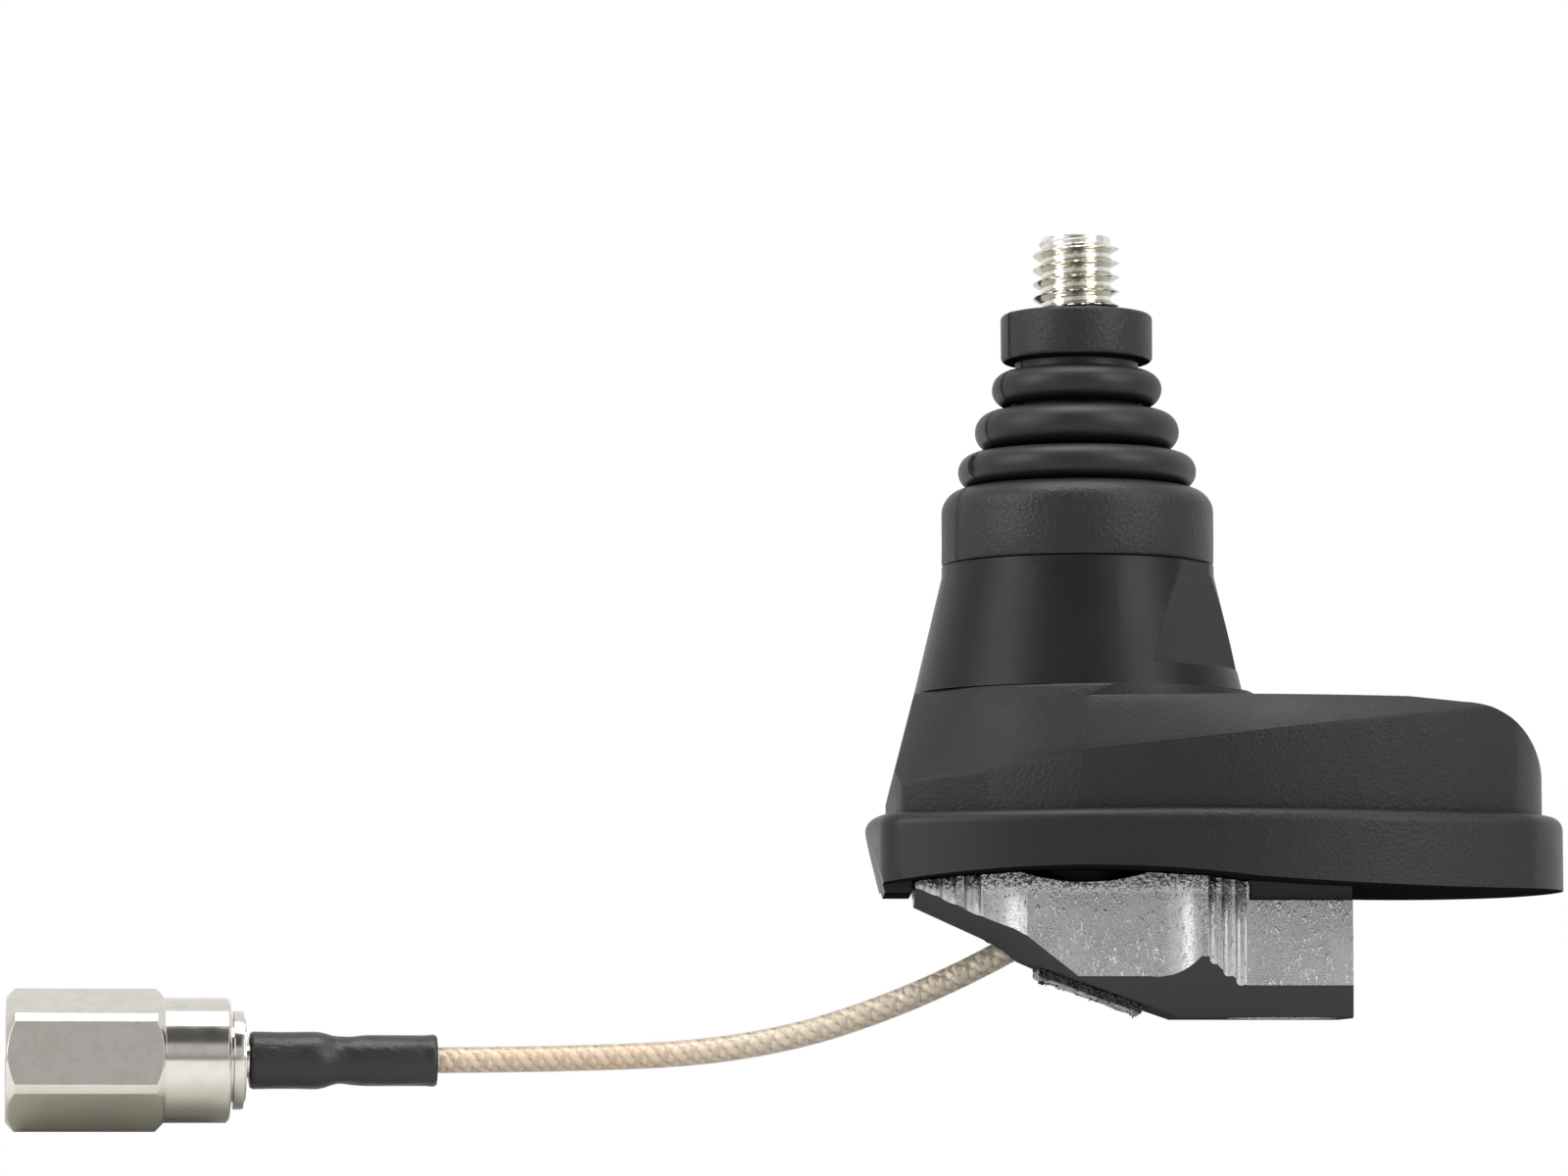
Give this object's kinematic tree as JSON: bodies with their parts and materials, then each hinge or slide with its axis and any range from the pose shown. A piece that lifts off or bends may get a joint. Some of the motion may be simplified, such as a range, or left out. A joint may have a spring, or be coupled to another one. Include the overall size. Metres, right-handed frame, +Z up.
{
  "type": "car radio antenna",
  "caption": "Car roof antenna foot with a sprung mast socket in a ribbed boot, a low housing with its gasket, an under-roof clamp and a short coaxial lead with a screw-on connector.",
  "frame": {"origin": "on the mast axis, at the level of the roof the gasket sits on", "axes": "+Z up along the mast axis, +X to the tail of the housing, +Y to its left side seen from the tail"},
  "size_m": [0.1074, 0.032, 0.0618],
  "materials": {
    "roof_housing": "fine spark-eroded grain",
    "mast_turret": "turned, black anodised",
    "rubber_boot": "matt moulded rubber",
    "mast_stud": "rolled thread, bright zinc",
    "mast_spring": "bright spring wire",
    "spring_plug": "turned",
    "roof_gasket": "matt moulded rubber",
    "base_plate": "as cast",
    "circuit_board": "lacquered board",
    "board_screws": "zinc plated",
    "screening_can": "tinned sheet",
    "board_contact": "plain",
    "housing_screws": "zinc plated",
    "spigot_collar": "turned",
    "locating_block": "plain moulding",
    "roof_clamp": "bright zinc casting, rough at the walls",
    "clamp_screw": "zinc plated",
    "clamp_washer": "zinc plated",
    "rattle_strip": "glossy crumpled film",
    "coax_lead": "clear jacket over a woven screen",
    "shrink_sleeve": "satin",
    "crimp_ferrule": "nickel plated",
    "connector_body": "nickel plated",
    "rear_ring": "nickel plated",
    "connector_insulator": "white",
    "centre_contact": "gold flashed",
    "coupling_nut": "nickel plated"
  },
  "bodies": {
    "base": {"roof_housing": "roof_housing", "mast_turret": "mast_turret", "rubber_boot": "rubber_boot", "mast_spring": "mast_spring", "spring_plug": "spring_plug", "roof_gasket": "roof_gasket", "base_plate": "base_plate", "circuit_board": "circuit_board", "board_screws": "board_screws", "screening_can": "screening_can", "board_contact": "board_contact", "housing_screws": "housing_screws", "spigot_collar": "spigot_collar", "locating_block": "locating_block", "roof_clamp": "roof_clamp", "clamp_screw": "clamp_screw", "clamp_washer": "clamp_washer", "rattle_strip": "rattle_strip", "coax_lead": "coax_lead", "shrink_sleeve": "shrink_sleeve", "crimp_ferrule": "crimp_ferrule", "connector_body": "connector_body", "rear_ring": "rear_ring", "connector_insulator": "connector_insulator", "centre_contact": "centre_contact"},
    "mast": {"mast_stud": "mast_stud"},
    "nut": {"coupling_nut": "coupling_nut"}
  },
  "joints": [
    {"name": "mast_lean", "type": "hinge", "parent": "base", "child": "mast", "pos_m": [0, 0, 0.03165], "axis": [0, 1, 0], "range_deg": [-25, 25], "stiffness_Nm_per_rad": 0.05, "deforming": ["rubber_boot", "mast_spring"]},
    {"name": "nut_spin", "type": "hinge", "parent": "base", "child": "nut", "pos_m": [-0.05709, 0.0006, -0.01172], "axis": [-0.9903, -0.1392, 0], "continuous": true}
  ]
}
